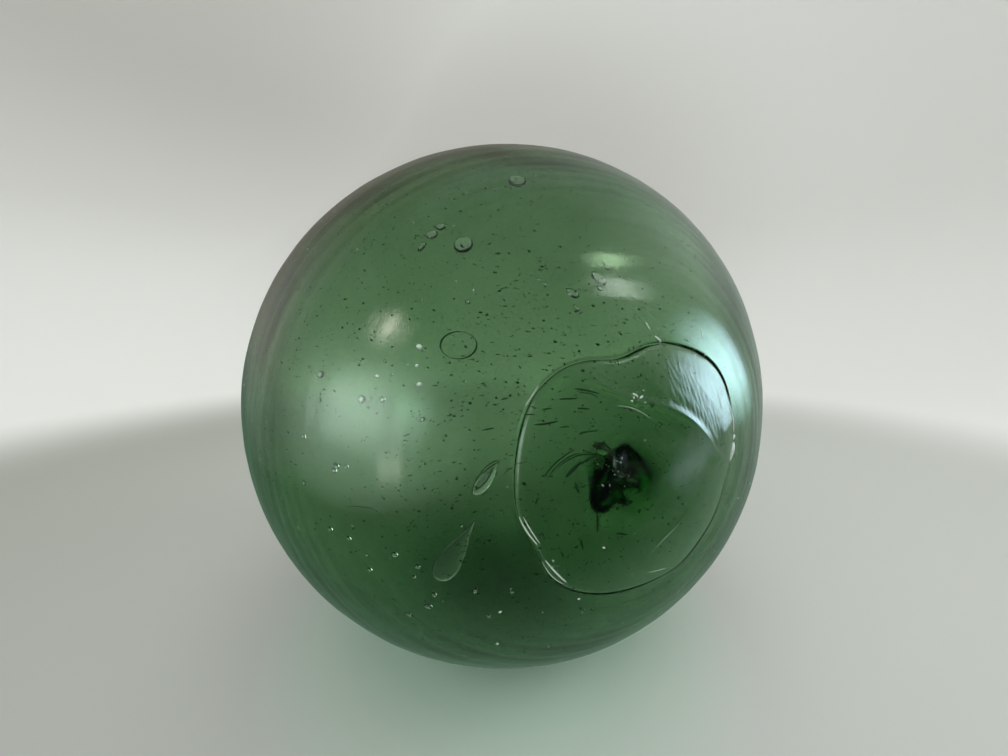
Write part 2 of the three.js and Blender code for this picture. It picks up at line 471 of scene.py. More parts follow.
def bubble_skin(azimuth, elevation, long, wide, deep, turn, point=0.0, rows=13, steps=28):
    """A pebble whose rim is as round as it is thick: the outline grows as the sine of the tilt to the power
    deep over wide. With a point, its width follows a drop."""
    out = facing(azimuth, elevation)
    along, across = flow_frame(out, turn)
    tilt = np.linspace(0, math.pi, rows)[:, None]
    round_angle = np.linspace(0, 2 * math.pi, steps, endpoint=False)[None, :]
    share = np.sin(tilt) ** (deep / wide)
    narrow = ((1 - np.cos(round_angle)) / 2) ** point
    narrow /= np.abs(narrow * np.sin(round_angle)).max()
    x = -share * np.cos(round_angle) * long / 2
    y = share * np.sin(round_angle) * narrow * wide / 2
    z = np.cos(tilt) * deep / 2
    middle = BALL_RADIUS - BUBBLE_MIDDLE + float(swelling(out)) - (x ** 2 + y ** 2) / (2 * BALL_RADIUS)
    points = out * (middle + z)[..., None] + along * x[..., None] + across * y[..., None]
    return closed_skin(points, inward=True)


SMALL_BUBBLE_COUNT = 300


def small_bubbles():
    """Bubbles of half a millimetre to one, at random over the ball outside the seal, long along the flow."""
    draw = np.random.default_rng(3)
    out = random_places(draw, SMALL_BUBBLE_COUNT)
    out = out[out @ SEAL_AXIS < math.cos(20 / BALL_RADIUS)]
    azimuth = np.degrees(np.arctan2(out[:, 0], -out[:, 1]))
    elevation = np.degrees(np.arcsin(out[:, 2]))
    long = 0.45 + 0.6 * draw.random(len(out)) ** 2
    wide = long * draw.uniform(0.55, 1, len(out))
    turn = draw.normal(0, 35, len(out)) + FLOW_TURN
    return zip(azimuth, elevation, long, wide, wide * 0.8, turn)


air = [bubble_skin(*bubble) for bubble in BUBBLES]
air += [bubble_skin(*bubble, rows=6, steps=9) for bubble in small_bubbles()]
print("bubbles:", len(air))

# %% [markdown]
# ## Green glass
# Old float glass is soda-lime glass coloured by iron. It bends light by 1.52, and it takes
# most of its colour from its thickness: red and blue die out in it sooner than green. So
# the surface itself is clear and the colour is an absorption inside. Sand and sea have
# worn the outside to a soft sheen, while the hollow is still as smooth as the fire left
# it, so the outside's reflections are broad and soft and those of the inside are sharp.

# %% Glass material
GLASS_TINT = "#96c994"
GLASS_DENSITY = 530.0  # absorption for each metre of glass
FIRE_POLISHED_ROUGHNESS = 0.0
WORN_ROUGHNESS = 0.12
PRESSED_ROUGHNESS = 0.16
CORD_PITCH = 2.4  # mm between the cords that run round the blowing axis
CORD_DRIFT = 1.2  # how fast a cord wanders on its way round
CORD_HEIGHT = 0.085
PIT_SIZE = 0.2
PIT_DEPTH = 0.012
BRUSH_DEPTH = 0.045
BRUSH_START = 0.3  # the share of pressed from which the marks show
BRUSH_ACROSS, BRUSH_ALONG = 1700.0, 700.0  # marks for each metre
BRUSH_LEAN = 0.22  # the marks lean this much from the seal's upward


def iron_green_glass():
    """Soda-lime glass: IOR 1.52, worn outside and fire-polished inside, with its colour as absorption."""
    material, tree = new_material("iron_green_soda_lime_glass")
    worn = node(tree, "ShaderNodeAttribute", {"attribute_name": "worn"}).outputs["Fac"]
    pressed = node(tree, "ShaderNodeAttribute", {"attribute_name": "pressed"}).outputs["Fac"]
    roughness = node(tree, "ShaderNodeMapRange", Value=worn, To_Min=FIRE_POLISHED_ROUGHNESS,
                     To_Max=WORN_ROUGHNESS)
    roughness = node(tree, "ShaderNodeMix", _0=pressed, _2=roughness.outputs[0], _3=PRESSED_ROUGHNESS)

    place = node(tree, "ShaderNodeTexCoord").outputs["Object"]
    middle = node(tree, "ShaderNodeVectorMath", {"operation": "SUBTRACT"}, _0=place,
                  _1=(0, 0, CENTRE_HEIGHT * MM)).outputs[0]
    outward = node(tree, "ShaderNodeVectorMath", {"operation": "NORMALIZE"}, _0=middle).outputs[0]
    along_axis = node(tree, "ShaderNodeVectorMath", {"operation": "DOT_PRODUCT"}, _0=outward,
                      _1=tuple(SEAL_AXIS)).outputs["Value"]
    opening = maths(tree, "ARCCOSINE", along_axis)
    rounds = maths(tree, "MULTIPLY", opening, BALL_RADIUS / CORD_PITCH)
    drift = node(tree, "ShaderNodeVectorMath", {"operation": "MULTIPLY"}, _0=outward,
                 _1=(CORD_DRIFT, CORD_DRIFT, CORD_DRIFT)).outputs[0]
    cord_place = node(tree, "ShaderNodeVectorMath", {"operation": "ADD"}, _0=drift,
                      _1=node(tree, "ShaderNodeCombineXYZ", X=rounds).outputs[0]).outputs[0]
    cords = node(tree, "ShaderNodeTexNoise", Vector=cord_place, Scale=1.0, Detail=0.0)
    pit_place = node(tree, "ShaderNodeVectorMath", {"operation": "SCALE"}, _0=place,
                     Scale=1 / (PIT_SIZE * MM)).outputs[0]

    straight = 0.97  # with the lean this keeps the direction's length at 1
    to_right = node(tree, "ShaderNodeVectorMath", {"operation": "DOT_PRODUCT"}, _0=middle,
                    _1=tuple(straight * SEAL_RIGHT + BRUSH_LEAN * SEAL_UP)).outputs["Value"]
    upward = node(tree, "ShaderNodeVectorMath", {"operation": "DOT_PRODUCT"}, _0=middle,
                  _1=tuple(straight * SEAL_UP - BRUSH_LEAN * SEAL_RIGHT)).outputs["Value"]
    across = maths(tree, "MULTIPLY", to_right, BRUSH_ACROSS)
    length = maths(tree, "MULTIPLY", upward, BRUSH_ALONG)
    brush_place = node(tree, "ShaderNodeCombineXYZ", X=across, Y=length).outputs[0]
    on_flat = maths(tree, "GREATER_THAN", pressed, BRUSH_START)
    grain_place = node(tree, "ShaderNodeMix", {"data_type": "VECTOR"}, _0=on_flat, _4=pit_place,
                       _5=brush_place).outputs[1]
    grain = node(tree, "ShaderNodeTexNoise", Vector=grain_place, Scale=1.0, Detail=0.0)
    grain_depth = node(tree, "ShaderNodeMapRange", Value=pressed, To_Min=PIT_DEPTH, To_Max=BRUSH_DEPTH)

    cord_height = maths(tree, "MULTIPLY", cords.outputs[0], CORD_HEIGHT)
    both = maths(tree, "MULTIPLY_ADD", grain.outputs[0], grain_depth.outputs[0], cord_height)
    height = maths(tree, "MULTIPLY", both, worn)
    relief = node(tree, "ShaderNodeBump", Strength=1.0, Distance=MM, Height=height)
    shader = node(tree, "ShaderNodeBsdfPrincipled", Base_Color=(1, 1, 1, 1), Roughness=roughness.outputs[0],
                  IOR=1.52, Transmission_Weight=1.0, Normal=relief.outputs[0])
    inside = node(tree, "ShaderNodeVolumeAbsorption", Color=(*linear(GLASS_TINT), 1), Density=GLASS_DENSITY)
    node(tree, "ShaderNodeOutputMaterial", Surface=shader.outputs[0], Volume=inside.outputs[0])
    return material


(outside, flat), hollow = outer_skin(), inner_skin()
vertices, faces = join_skins([outside, hollow] + air)
worn, pressed = np.zeros(len(vertices)), np.zeros(len(vertices))
worn[:len(outside[0])] = 1
pressed[:len(flat)] = flat
ball = make_piece("blown_glass_ball", vertices, faces, iron_green_glass(), "green_glass",
                  worn=worn, pressed=pressed)
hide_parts("glass_float")

# %% [markdown]
# ## Seeds
# Seeds are bubbles of a few tenths of a millimetre, left by the boiling of the melt. At
# this size the eye only sees the dark ring of a bubble, so each is a small body of 8 faces,
# drawn out along the flow, with that ring's shade painted into its dark colour. There are
# many thousand, and near the seal, where the glass was still moving, they are long streaks
# that circle its middle.

# %% Seeds
SEED_COUNT = 25000
SEED_SMALLEST, SEED_RANGE, SEED_STEEPNESS = 0.2, 0.26, 5  # their width in mm, most near the smallest


def octahedron():
    """Six points, one unit along each axis both ways, and the 8 faces between them."""
    points = np.array([(1, 0, 0), (-1, 0, 0), (0, 1, 0), (0, -1, 0), (0, 0, 1), (0, 0, -1)], dtype=float)
    upper = [(0, 2, 4), (2, 1, 4), (1, 3, 4), (3, 0, 4)]
    lower = [(2, 0, 5), (1, 2, 5), (3, 1, 5), (0, 3, 5)]
    faces = np.array(upper + lower)
    return points, faces


def scatter(direction, depth, long, wide, turn):
    """One small body at each direction: an octahedron stretched along turn and laid in the wall."""
    points, faces = octahedron()
    along, across = flow_frame(direction, turn)
    middle = direction * (BALL_RADIUS + swelling(direction) - depth)[:, None]
    bodies = (middle[:, None, :] + points[None, :, :1] * (along * (long / 2)[:, None])[:, None, :]
              + points[None, :, 1:2] * (across * (wide / 2)[:, None])[:, None, :]
              + points[None, :, 2:] * (direction * (wide / 2)[:, None])[:, None, :])
    numbers = faces[None] + len(points) * np.arange(len(direction))[:, None, None]
    return bodies.reshape(-1, 3), numbers.reshape(-1, 3)


def seeds():
    """Random places over the ball, sizes by a steep law so that most are small, turned along the flow."""
    draw = np.random.default_rng(7)
    direction = random_places(draw, SEED_COUNT)
    crowd = waves(direction, 60, 21) + draw.normal(0, 0.8, len(direction))
    direction = direction[crowd > -0.6]
    count = len(direction)
    wide = SEED_SMALLEST + SEED_RANGE * draw.random(count) ** SEED_STEEPNESS
    long = wide * draw.uniform(1.0, 2.0, count)
    depth = draw.uniform(0.45, 2.0, count)
    turn = draw.normal(0, 22, count) + FLOW_TURN
    return scatter(direction, depth, long, wide, turn)


STREAK_COUNT = 700
STREAK_REACH = 34  # from the seal's middle
STREAK_FAN = (70, 262)  # degrees round the seal
STREAK_TURNS = (60, 90, 120, 150, 180, 200, 220, 240, 270)
STREAK_LEANS = (-25, -14, -8, 4, 20, 33, 55, 75, 100)


def seal_streaks():
    """Long seeds in and round the seal, leaning as the plug was twisted when it was pressed in."""
    draw = np.random.default_rng(11)
    distance = STREAK_REACH * np.sqrt(draw.uniform(0.05, 1, STREAK_COUNT))
    round_turn = draw.uniform(*STREAK_FAN, STREAK_COUNT)
    direction = walk(distance, round_turn)
    lean = np.interp(round_turn, STREAK_TURNS, STREAK_LEANS) + draw.normal(0, 12, STREAK_COUNT)
    wide = 0.09 + 0.08 * draw.random(STREAK_COUNT) ** 2
    long = wide * draw.uniform(2, 7, STREAK_COUNT)
    return scatter(direction, draw.uniform(0.4, 1.8, STREAK_COUNT), long, wide, lean)


STROKES = (
    # width, then places on the seal as (right, up)
    (0.22, (-14.8, 1.5), (-13.8, 2.8), (-12.6, 4.1), (-10.8, 5.1)),
    (0.19, (-14.2, 1.7), (-12.8, 3.3), (-11.6, 4.2), (-10.1, 4.5)),
    (0.22, (-13.1, 2.6), (-11.8, 3.9), (-9.8, 4.3), (-8.3, 4.2)),
    (0.5, (-12.1, 1.5), (-11.3, 2.5), (-10.0, 3.6)),
    (0.31, (-10.3, 3.1), (-9.4, 3.7), (-8.4, 4.1)),
    (0.34, (-11.0, 1.0), (-10.7, 0.1), (-10.4, -0.6)),
    (0.25, (-10.5, 12.5), (-9.2, 12.3), (-7.2, 11.7)),
    (0.15, (-10.0, 12.0), (-8.5, 11.8), (-7.6, 11.2)),
    (0.22, (-12.6, 11.3), (-10.2, 11.3)),
    (0.22, (-10.4, 10.1), (-8.8, 9.9)),
    (0.19, (-14.8, 10.1), (-13.4, 10.2)),
    (0.19, (-17.1, 9.4), (-15.7, 9.5)),
    (0.28, (-15.9, 8.2), (-14.4, 8.3), (-12.8, 8.6)),
    (0.19, (-12.7, 7.8), (-11.5, 7.9)),
    (0.22, (-10.2, 6.8), (-9.8, 7.1), (-7.7, 7.2)),
    (0.19, (-22.6, 7.5), (-20.9, 7.8)),
    (0.19, (-19.9, 11.5), (-18.9, 11.7)),
    (0.19, (-16.1, 17.1), (-15.4, 17.1)),
    (0.11, (-20.0, 1.3), (-18.5, 2.8), (-16.6, 3.6)),
    (0.22, (-15.5, -1.1), (-15.8, -2.1)),
    (0.31, (-8.0, -3.2), (-7.7, -6.3)),
    (0.25, (-5.2, -6.5), (-3.4, -7.0)),
    (0.25, (-9.8, -7.2), (-9.3, -8.8)),
    (0.19, (-14.9, -6.1), (-14.5, -6.9)),
    (0.19, (-12.2, -9.1), (-11.8, -10.1)),
    (0.14, (-23.8, 0.4), (-22.0, 2.7), (-20.4, 3.5)),
    (0.19, (-23.8, -0.7), (-22.2, 0.6), (-21.1, 2.8)),
    (0.19, (-42.9, -5.3), (-40.4, -4.7), (-38.0, -4.6)),
)


SPINDLE_PLACES, SPINDLE_SIDES = 13, 6


def spindle(sunk, width, *places):
    """A thin spindle through a few places on the seal, sunk under the surface, along a smooth curve."""
    places = np.array(places, dtype=float)
    knots = np.linspace(0, 1, len(places))
    degree = min(len(places) - 1, 2)
    share = np.linspace(0, 1, SPINDLE_PLACES)
    right, up = (np.polyval(np.polyfit(knots, places[:, k], degree), share) for k in (0, 1))
    distance, turn = np.hypot(right, up), np.degrees(np.arctan2(up, right))
    spine = walk(distance, turn)
    spine = spine * (BALL_RADIUS + swelling(spine) + seal_height(distance, turn) - sunk)[:, None]
    along = np.gradient(spine, axis=0)
    along /= np.linalg.norm(along, axis=1, keepdims=True)
    out = spine / np.linalg.norm(spine, axis=1, keepdims=True)
    side = np.cross(along, out)
    body = np.sqrt(np.clip(1 - (2 * share - 1) ** 2, 0, 1)) * width / 2
    round_angle = np.linspace(0, 2 * math.pi, SPINDLE_SIDES, endpoint=False)
    points = (spine[:, None] + (body[:, None] * np.cos(round_angle))[..., None] * side[:, None]
              + (body[:, None] * np.sin(round_angle))[..., None] * out[:, None])
    return closed_skin(points)


RIM_AZIMUTH, RIM_ELEVATION = -5.6, 17.9
RIM_REACH_EAST, RIM_REACH_NORTH = 2.45, 1.85
RIM_THICKNESS, RIM_UNEVEN = 0.08, 0.05
RIM_DEPTH = 1.0
RIM_STEPS, RIM_SIDES = 48, 6


def pressed_bubble_rim():
    """The rim of a bubble that was pressed shut: a thin ring along an ellipse in the wall."""
    out = facing(RIM_AZIMUTH, RIM_ELEVATION)
    east, north = flow_frame(out)
    round_turn = np.linspace(0, 2 * math.pi, RIM_STEPS, endpoint=False)
    eastward = np.cos(round_turn)[:, None] * RIM_REACH_EAST * east
    northward = np.sin(round_turn)[:, None] * RIM_REACH_NORTH * north
    spine = out + (eastward + northward) / BALL_RADIUS
    spine /= np.linalg.norm(spine, axis=1, keepdims=True)
    away = spine - out
    away /= np.linalg.norm(away, axis=1, keepdims=True)
    lobe = np.linspace(0, 2 * math.pi, RIM_SIDES, endpoint=False)
    thick = (RIM_THICKNESS + RIM_UNEVEN * np.cos(round_turn * 2 + 1))[:, None]
    sideways = (thick * np.cos(lobe))[..., None] * away[:, None]
    outward = (thick * np.sin(lobe))[..., None] * spine[:, None]
    points = (spine * (BALL_RADIUS - RIM_DEPTH))[:, None] + sideways + outward
    ring = np.arange(RIM_STEPS * RIM_SIDES).reshape(RIM_STEPS, RIM_SIDES)
    after, over = np.roll(ring, -1, axis=0), np.roll(ring, -1, axis=1)
    quads = np.stack([ring, after, np.roll(after, -1, axis=1), over], axis=-1).reshape(-1, 4)
    return points.reshape(-1, 3), quads, np.zeros((0, 3), int)


def clouded_glass(name, scale, dark, pale, roughness):
    """Opaque glass whose colour wanders from a dark shade to a pale one, scale times in a metre."""
    material, tree = new_material(name, empty=False)
    shader = tree.nodes["Principled BSDF"]
    place = node(tree, "ShaderNodeTexCoord").outputs["Object"]
    cloud = node(tree, "ShaderNodeTexNoise", Vector=place, Scale=scale, Detail=2.0)
    tree.links.new(blend(tree, cloud.outputs[0], dark, pale), shader.inputs["Base Color"])
    shader.inputs["Roughness"].default_value = roughness
    return material


# Painted shade: air too small to see into is drawn as a dark green body with a soft gloss, the dark ring of
# a bubble painted into its colour.
seed_glass = clouded_glass("seed_in_green_glass", 220.0, "#19321f", "#466e4c", 0.3)
points, triangles = seeds()
make_piece("air_seeds", points, triangles.tolist(), seed_glass, "green_glass")
points, triangles = seal_streaks()
make_piece("seal_streaks", points, triangles.tolist(), seed_glass, "green_glass")
points, sides = join_skins([spindle(0.7, *line) for line in STROKES] + [pressed_bubble_rim()])
make_piece("drawn_out_seeds", points, sides, seed_glass, "green_glass")

# %% [markdown]
# ## Nicks
# Sand has nicked the outside. A nick is a break in the skin, white because its floor is
# rough, and it catches the light whatever way it faces. Most are points of a tenth or two
# of a millimetre. The larger ones follow the seal's edge, where the thin lip chipped. On
# the scar and near the end of the ridge the white flakes are painted highlights as well,
# standing in for glints of the seal.

# %% Nicks
NICK_COUNT = 700
# The short chips near the ridge's end stand in for glints as well: painted highlights.
CHIPS_AND_GLINTS = (
    # width, then places on the seal as (right, up)
    (0.26, (-17.9, -3.8), (-16.9, -5.9), (-15.3, -8.1)),
    (0.16, (-17.4, -3.7), (-16.3, -5.8), (-15.0, -7.9)),
    (0.3, (-14.3, -10.4), (-12.4, -12.9), (-10.8, -14.7)),
    (0.18, (-14.5, -11.3), (-13.1, -13.5), (-11.1, -15.1)),
    (0.26, (-16.9, 10.5), (-15.9, 11.9), (-14.9, 13.3)),
    (0.26, (16.6, 8.1), (17.3, 5.7), (17.5, 4.1)),
    (0.8, (16.9, -0.7), (17.5, 1.1), (17.9, 2.7), (19.7, 3.2)),
    (0.2, (1.5, 21.4), (2.1, 20.2)),
    (0.36, (2.7, 19.3), (4.0, 18.2)),
    (0.26, (12.6, 20.2), (12.5, 19.0)),
    (0.26, (-3.1, 11.6), (-2.3, 11.2)),
    (0.3, (-2.2, 10.9), (-1.6, 11.2)),
    (0.1, (1.1, -11.2), (2.6, -9.3), (5.6, -6.6)),
    (0.1, (1.9, -15.5), (4.2, -16.0), (6.1, -16.2)),
    (0.7, (-30.8, 19.1), (-30.1, 18.6)),
    (0.5, (-31.0, 16.4), (-30.7, 16.1)),
    (0.6, (-30.9, 13.7), (-30.2, 13.7)),
    (0.5, (-37.0, 15.0), (-36.3, 14.8)),
    (0.06, (-5.6, 10.2), (-3.8, 9.9), (-2.2, 9.2), (-0.7, 8.1)),
    (0.35, (-20.0, -21.2), (-19.6, -20.8)),
    (0.4, (-19.8, -30.4), (-19.4, -30.0)),
    (0.3, (-8.5, -19.1), (-8.1, -18.9)),
    (0.3, (-7.0, -8.3), (-6.6, -8.5)),
    (0.3, (8.2, 13.9), (8.6, 13.7)),
)
CRACKS = (
    # width, then places on the seal as (right, up)
    (0.22, (20.3, 3.4), (18.0, 0.7), (16.0, -0.5), (15.2, -2.7)),
    (0.6, (-15.2, -8.9), (-14.9, -10.0), (-14.3, -11.2)),
    (0.25, (8.3, 18.9), (9.4, 18.4)),
)
# The first two clusters, on the scar and at the ridge's end, are partly painted highlights: white flakes for
# glints.
NICK_AND_GLINT_CLUSTERS = ((-5.6, 2.2, 1.1, 14), (-2.4, 11.1, 0.5, 12), (17.6, 1.8, 1.0, 14), (-13.4, -11.6, 1.0, 10),
                 (3.0, 19.4, 1.1, 9), (15.5, 14.5, 2.5, 14))  # right, up, spread, count


def nicks_and_glints():
    """Small flakes in the outer skin: at random over the ball, closer where the seal was struck or cut. The
    clusters on the scar and at the ridge's end are painted glints as well as breaks.
    """
    draw = np.random.default_rng(5)
    direction = random_places(draw, NICK_COUNT)
    for right, up, spread, count in NICK_AND_GLINT_CLUSTERS:
        places = np.array([right, up]) + draw.normal(0, spread, (count, 2))
        near = walk(np.hypot(*places.T), np.degrees(np.arctan2(places[:, 1], places[:, 0])))
        direction = np.concatenate([direction, near])
    distance, turn = to_walk(direction)
    wide = 0.1 + 0.3 * draw.random(len(direction)) ** 3
    long = wide * draw.uniform(1, 2.2, len(direction))
    rise = seal_height(distance, turn)
    return scatter(direction, wide * 0.3 - rise, long, wide, draw.uniform(0, 180, len(direction)))


def to_walk(direction):
    """The walk from the seal's middle to a direction: its arc length, and the turn it starts with."""
    distance = BALL_RADIUS * np.arccos(np.clip(direction @ SEAL_AXIS, -1, 1))
    return distance, np.degrees(np.arctan2(direction @ SEAL_UP, direction @ SEAL_RIGHT))


# Rough broken glass is a pale matt green-white. Where the flakes stand in for glints, this pale colour is a
# painted highlight.
nick_and_glint_glass = clouded_glass("crushed_glass_and_glint_white", 2500.0, "#9fbba8", "#fbfffb", 0.5)
points, triangles = nicks_and_glints()
make_piece("sand_flakes_and_glints", points, triangles.tolist(), nick_and_glint_glass, "green_glass")
points, sides = join_skins([spindle(0.0, *line) for line in CHIPS_AND_GLINTS])
make_piece("lip_chips_and_glints", points, sides, nick_and_glint_glass, "green_glass")
points, sides = join_skins([spindle(0.1, *line) for line in CRACKS])
make_piece("lip_cracks", points, sides, seed_glass, "green_glass")

# %% [markdown]
# ## Floor, backdrop and light
# The ball stands on a pale floor that bends up into a backdrop behind it, so there is no
# corner or line behind the glass. Their paint carries painted shade and a painted pool of
# green light under the ball. Glass shows mostly what stands round it, so the studio is
# bright to the right, where the photograph has its window, and dimmer in front, where a
# dark sheet paints shade into what the glass mirrors. Soft cards shape the reflections, as
# a photographer of glass would set them.

# %% Floor and backdrop
SWEEP_RADIUS = 460.0
SWEEP_BEND = 200.0
SWEEP_HEIGHT = 640.0
SWEEP_HALF_ANGLE = 80.0  # degrees of backdrop to each side of straight behind
SWEEP_EASE = 1.5  # degrees over which its sides sink to the floor
SWEEP_STEPS = 120
FLOOR_ROWS = (90, 190)
FRONT_REACH = 500  # how much farther the floor reaches in front
PICTURE_EDGE, SHADE_START = 0.405, 0.42  # metres to the side where the wall passes into shade
# Middle of the painted shade on the wall behind the ball.
SHADE_BEHIND_MIDDLE = (0, 0.45, 0.22)  # metres, on the wall behind the ball


def add_stage_mesh(name, vertices, quads, material, uv=None):
    """Mesh object that is part of the studio, in metres, with an optional UV for each vertex."""
    made = smooth_object(name, vertices, quads.tolist(), material)
    mesh = made.data
    if uv is not None:
        layer = mesh.uv_layers.new(name="UVMap")
        corners = np.empty(len(mesh.loops), dtype=np.int32)
        mesh.loops.foreach_get("vertex_index", corners)
        layer.data.foreach_set("uv", uv[corners].ravel())
    mesh.update()
    return made


def pale_paint():
    """Matt pale paint. The floor is a little darker than the wall, with painted shade towards the left and a
    painted pool of green light under the ball, where its glass would tint the light. The wall has painted
    shade at its upper left and behind the ball, and falls into painted shade beyond the picture. Distances
    are in metres."""
    material, tree = new_material("pale_matt_paint", empty=False)
    shader = tree.nodes["Principled BSDF"]
    place = node(tree, "ShaderNodeTexCoord").outputs["Object"]
    split = node(tree, "ShaderNodeSeparateXYZ", _0=place)
    rise = smooth_step(tree, split.outputs["Z"], 0.0, 0.02)
    left = smooth_step(tree, split.outputs["X"], -PICTURE_EDGE, -SHADE_START)
    right = smooth_step(tree, split.outputs["X"], PICTURE_EDGE, SHADE_START, To_Max=0.7)
    aside = maths(tree, "ADD", left, right)
    away = node(tree, "ShaderNodeVectorMath", {"operation": "LENGTH"}, _0=place)
    # Painted light: a pool of green under the ball, where light through its glass would fall.
    under = smooth_step(tree, away.outputs["Value"], 0.075, 0.02)
    # Painted shade: the floor, and the wall's upper part, darker towards the left.
    painted_left_shade = smooth_step(tree, split.outputs["X"], 0.12, -0.35)
    floor_with_painted_shade = blend(tree, painted_left_shade, "#cdd1cb", "#b0b3aa")
    floor = blend(tree, under, floor_with_painted_shade, "#cff0da")
    high = smooth_step(tree, split.outputs["Z"], 0.12, 0.36)
    upper_left_shade = maths(tree, "MULTIPLY", high, painted_left_shade)
    # Painted shade on the wall behind the ball.
    from_patch = node(tree, "ShaderNodeVectorMath", {"operation": "DISTANCE"}, _0=place,
                      _1=SHADE_BEHIND_MIDDLE).outputs["Value"]
    behind = smooth_step(tree, from_patch, 0.38, 0.12, To_Max=0.66)
    painted_wall_shade = maths(tree, "MAXIMUM", upper_left_shade, behind)
    wall_with_painted_shade = blend(tree, painted_wall_shade, "#f6f7f3", "#d0d0ca")
    wall = blend(tree, rise, floor, wall_with_painted_shade)
    shaded = blend(tree, aside, wall, "#3c3e3c")
    tree.links.new(shaded, shader.inputs["Base Color"])
    shader.inputs["Roughness"].default_value = 0.9
    shader.inputs["Specular IOR Level"].default_value = 0.1
    return material


def sweep_grid(radius, top, start):
    """A profile turned about the vertical: flat floor from start, quarter bend, wall. In front the wall
    sinks to the floor. Returns the points in metres and the quads between them."""
    bend = np.linspace(0, math.pi / 2, 17)
    along = np.concatenate([[start, *FLOOR_ROWS], radius - SWEEP_BEND + SWEEP_BEND * np.sin(bend), [radius]])
    height = np.concatenate([[0.0, 0, 0], SWEEP_BEND * (1 - np.cos(bend)), [top]])
    angle = np.linspace(0, 2 * math.pi, SWEEP_STEPS, endpoint=False)[None, :]
    from_behind = np.degrees(np.abs((angle - math.pi / 2 + math.pi) % (2 * math.pi) - math.pi))
    stands = 1 / (1 + np.exp((from_behind - SWEEP_HALF_ANGLE) / SWEEP_EASE))
    reach = along[:, None] + (1 - stands) * FRONT_REACH * np.linspace(0, 1, len(along))[:, None]
    points = np.stack([reach * np.cos(angle), reach * np.sin(angle), height[:, None] * stands], axis=-1)
    ring = np.arange(len(along) * SWEEP_STEPS).reshape(len(along), SWEEP_STEPS)
    after = np.roll(ring, -1, axis=1)
    quads = np.stack([ring[:-1], ring[1:], after[1:], after[:-1]], axis=-1).reshape(-1, 4)
    return points.reshape(-1, 3) * MM, quads


add_stage_mesh("studio_sweep", *sweep_grid(SWEEP_RADIUS, SWEEP_HEIGHT, 0.0), pale_paint())


# %% A glowing lining, the painted reflection of a room that the outside mirrors
def show_to_glass_only(thing, inside=True):
    """Leaves a thing visible only in what the glass mirrors and, with inside, in what it lets through."""
    thing.visible_camera = False
    thing.visible_diffuse = False
    thing.visible_transmission = inside
    thing.visible_shadow = False


def painted_room_glow():
    """Painted reflection: a glow, standing in for a room, that is dim to the left, green on its shaded floor
    and paler to the right.
    """
    material, tree = new_material("painted_room_glow", lights_others=False)
    place = node(tree, "ShaderNodeTexCoord").outputs["Object"]
    split = node(tree, "ShaderNodeSeparateXYZ", _0=place)
    right = smooth_step(tree, split.outputs["X"], -0.06, 0.42)
    rise = smooth_step(tree, split.outputs["Z"], 0.0, 0.16)
    dim = blend(tree, rise, "#5e7c67", "#858079")
    shade = blend(tree, right, dim, "#aab7ae")
    glow = node(tree, "ShaderNodeEmission", Color=shade, Strength=1.0)
    node(tree, "ShaderNodeOutputMaterial", Surface=glow.outputs[0])
    return material


LINING_GAP = 8.0  # mm inside the sweep
LINING_TOP = 1000.0
LINING_START = 30.0
LINING_LIFT = 0.4
points, quads = sweep_grid(SWEEP_RADIUS - LINING_GAP, LINING_TOP, LINING_START)
room = add_stage_mesh("painted_room_glow_lining", points + [0, 0, LINING_LIFT * MM], quads, painted_room_glow())
show_to_glass_only(room, inside=False)


# %% Cards that the glass mirrors
def glowing_card(brightness, colour):
    """Light from a soft-edged card: full in the middle, fading at its edge, hiding nothing behind it."""
    material, tree = new_material("glowing_card", lights_others=False)
    place = node(tree, "ShaderNodeUVMap")
    away = node(tree, "ShaderNodeVectorMath", {"operation": "LENGTH"}, _0=place.outputs[0])
    fade = smooth_step(tree, away.outputs["Value"], 1.0, 0.0, To_Min=0.0, To_Max=brightness)
    glow = node(tree, "ShaderNodeEmission", Color=(*linear(colour), 1), Strength=fade)
    clear = node(tree, "ShaderNodeBsdfTransparent")
    added = node(tree, "ShaderNodeAddShader", _0=glow.outputs[0], _1=clear.outputs[0])
    node(tree, "ShaderNodeOutputMaterial", Surface=added.outputs[0])
    return material


CARD_STEPS = 9  # points along each side of a card


def soft_card(name, azimuth, elevation, distance, wide, high, brightness, colour, lean=0.0, inside=True):
    """Round-edged card facing the ball, its size in degrees as seen from there. Only the glass sees it, and
    with inside=False only the glass's outside does."""
    towards = facing(azimuth, elevation)
    along, across = flow_frame(towards, lean)
    side = np.linspace(-1, 1, CARD_STEPS)
    u, v = (grid.ravel() for grid in np.meshgrid(side, side))
    half_wide = distance * math.tan(math.radians(wide / 2))
    half_high = distance * math.tan(math.radians(high / 2))
    points = (towards * distance + u[:, None] * half_wide * along + v[:, None] * half_high * across
              + [0, 0, CENTRE_HEIGHT]) * MM
    ring = np.arange(CARD_STEPS ** 2).reshape(CARD_STEPS, CARD_STEPS)
    quads = np.stack([ring[:-1, :-1], ring[1:, :-1], ring[1:, 1:], ring[:-1, 1:]], axis=-1).reshape(-1, 4)
    card = add_stage_mesh(name, points, quads, glowing_card(brightness, colour), np.stack([u, v], axis=-1))
    show_to_glass_only(card, inside)


# Corners, in mm, of the sheet of painted shade before the ball.
SHADE_SHEET_CORNERS = ((-450, -48), (450, -48), (450, -700), (-450, -700))
SHADE_SHEET_HEIGHT = 0.8


